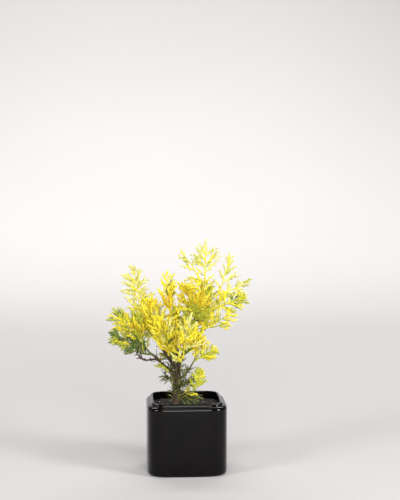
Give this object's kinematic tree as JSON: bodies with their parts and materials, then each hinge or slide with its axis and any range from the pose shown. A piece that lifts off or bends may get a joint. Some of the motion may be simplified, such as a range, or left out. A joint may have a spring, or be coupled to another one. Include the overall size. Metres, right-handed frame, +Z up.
{
  "type": "potted western red cedar",
  "caption": "Young golden western red cedar: leaning leader, fanned boughs and flat scale-leaf sprays, in a small square glazed pot of soil.",
  "frame": {"origin": "centre of the pot's flat underside", "axes": "+Z up along the plant, +X to the viewer's right in the picture, +Y away from the viewer"},
  "size_m": [0.1286, 0.0901, 0.2086],
  "materials": {
    "glaze": "black gloss glaze",
    "potting_soil": "loose dark potting mix",
    "bark": "fibrous brown bark",
    "green_bark": "young greenish bark",
    "yellow_foliage": "satin scale leaves",
    "pale_foliage": "satin scale leaves",
    "ochre_foliage": "satin scale leaves",
    "lime_foliage": "satin scale leaves",
    "green_foliage": "satin scale leaves",
    "dark_foliage": "satin needle leaves"
  },
  "bodies": {
    "root": {"pot": "glaze", "soil": "potting_soil", "trunk": "bark", "leader": "bark", "left_bough": "bark", "left_arm": "green_bark", "left_spur": "green_bark", "inner_left_bough": "bark", "high_left_bough": "bark", "centre_bough": "bark", "front_bough": "bark", "right_bough": "green_bark", "right_arm": "green_bark", "high_right_arm": "green_bark", "top_right_arm": "green_bark", "back_bough": "bark", "back_right_bough": "green_bark", "back_left_bough": "green_bark", "foot_right_bough": "green_bark", "leader_tip": "yellow_foliage", "upper_left_fan": "yellow_foliage", "leader_side_fan": "yellow_foliage", "upper_right_fan": "pale_foliage", "far_right_fan": "pale_foliage", "right_fan": "pale_foliage", "low_right_fan": "lime_foliage", "drooping_right_fan": "lime_foliage", "centre_right_tuft": "lime_foliage", "inner_right_tuft": "lime_foliage", "centre_top_tuft": "ochre_foliage", "centre_left_tuft": "yellow_foliage", "front_tuft": "yellow_foliage", "low_front_tuft": "pale_foliage", "low_centre_tuft": "yellow_foliage", "low_right_spray": "lime_foliage", "top_left_fan": "pale_foliage", "inner_left_tuft": "ochre_foliage", "left_crest_tuft": "yellow_foliage", "pale_left_fan": "pale_foliage", "inner_pale_tuft": "lime_foliage", "outer_left_fan": "green_foliage", "low_left_fan": "green_foliage", "left_spur_twigs": "dark_foliage", "hanging_left_spray": "lime_foliage", "back_left_tuft": "yellow_foliage", "back_tuft": "lime_foliage", "back_right_tuft": "yellow_foliage", "back_top_tuft": "ochre_foliage", "low_back_tuft": "green_foliage", "foot_right_spray": "lime_foliage", "foot_left_needles": "dark_foliage", "foot_front_needles": "dark_foliage", "foot_right_needles": "dark_foliage", "foot_back_needles": "dark_foliage", "soil_needles": "green_foliage"}
  },
  "joints": []
}
